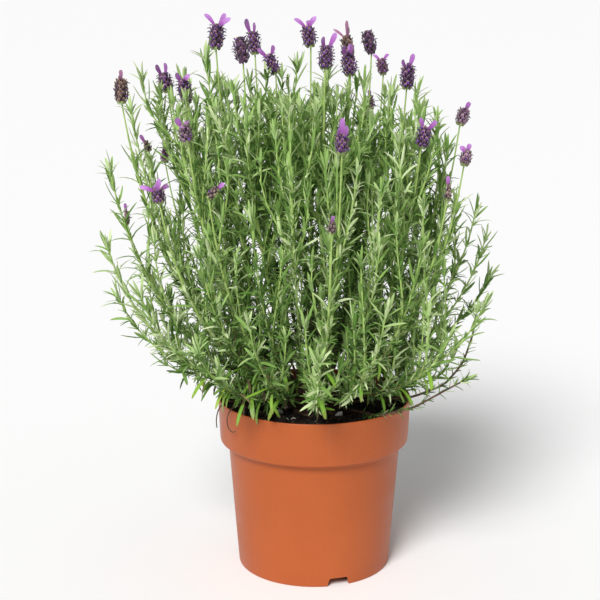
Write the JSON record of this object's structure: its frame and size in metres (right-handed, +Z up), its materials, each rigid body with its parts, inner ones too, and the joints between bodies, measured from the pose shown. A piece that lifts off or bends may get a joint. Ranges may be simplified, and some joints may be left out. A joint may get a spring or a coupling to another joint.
{
  "type": "potted lavender",
  "caption": "Bushy butterfly lavender with flowering stems and leafy shoots, growing in a round terracotta-coloured nursery pot of soil",
  "frame": {"origin": "on the pot's axis, on the surface that the pot stands on", "axes": "+Z up along the pot's axis, the front towards -Y, +X to the right seen from the front"},
  "size_m": [0.37, 0.3614, 0.5431],
  "materials": {
    "terracotta_plastic": "satin",
    "peat_soil": "matte",
    "woody_bark": "matte",
    "stem_green": "matte",
    "foliage_green": "matte",
    "flower_purple": "matte"
  },
  "bodies": {
    "root": {"pot": "terracotta_plastic", "potting_soil": "peat_soil", "woody_crown": "woody_bark", "flowering_stem_01": "stem_green", "flowering_stem_02": "stem_green", "flowering_stem_03": "stem_green", "flowering_stem_04": "stem_green", "flowering_stem_05": "stem_green", "flowering_stem_06": "stem_green", "flowering_stem_07": "stem_green", "flowering_stem_08": "stem_green", "flowering_stem_09": "stem_green", "flowering_stem_10": "stem_green", "flowering_stem_11": "stem_green", "flowering_stem_12": "stem_green", "flowering_stem_13": "stem_green", "flowering_stem_14": "stem_green", "flowering_stem_15": "stem_green", "flowering_stem_16": "stem_green", "flowering_stem_17": "stem_green", "flowering_stem_18": "stem_green", "flowering_stem_19": "stem_green", "flowering_stem_20": "stem_green", "flowering_stem_21": "stem_green", "flowering_stem_22": "stem_green", "flowering_stem_23": "stem_green", "flowering_stem_24": "stem_green", "flowering_stem_25": "stem_green", "flowering_stem_26": "stem_green", "flowering_stem_27": "stem_green", "flowering_stem_28": "stem_green", "leafy_shoot_01": "foliage_green", "leafy_shoot_02": "foliage_green", "leafy_shoot_03": "foliage_green", "leafy_shoot_04": "foliage_green", "leafy_shoot_05": "foliage_green", "leafy_shoot_06": "foliage_green", "leafy_shoot_07": "foliage_green", "leafy_shoot_08": "foliage_green", "leafy_shoot_09": "foliage_green", "leafy_shoot_10": "foliage_green", "leafy_shoot_11": "foliage_green", "leafy_shoot_12": "foliage_green", "leafy_shoot_13": "foliage_green", "leafy_shoot_14": "foliage_green", "leafy_shoot_15": "foliage_green", "leafy_shoot_16": "foliage_green", "leafy_shoot_17": "foliage_green", "leafy_shoot_18": "foliage_green", "leafy_shoot_19": "foliage_green", "leafy_shoot_20": "foliage_green", "leafy_shoot_21": "foliage_green", "leafy_shoot_22": "foliage_green", "leafy_shoot_23": "foliage_green", "leafy_shoot_24": "foliage_green", "leafy_shoot_25": "foliage_green", "leafy_shoot_26": "foliage_green", "leafy_shoot_27": "foliage_green", "leafy_shoot_28": "foliage_green", "leafy_shoot_29": "foliage_green"}
  },
  "joints": []
}
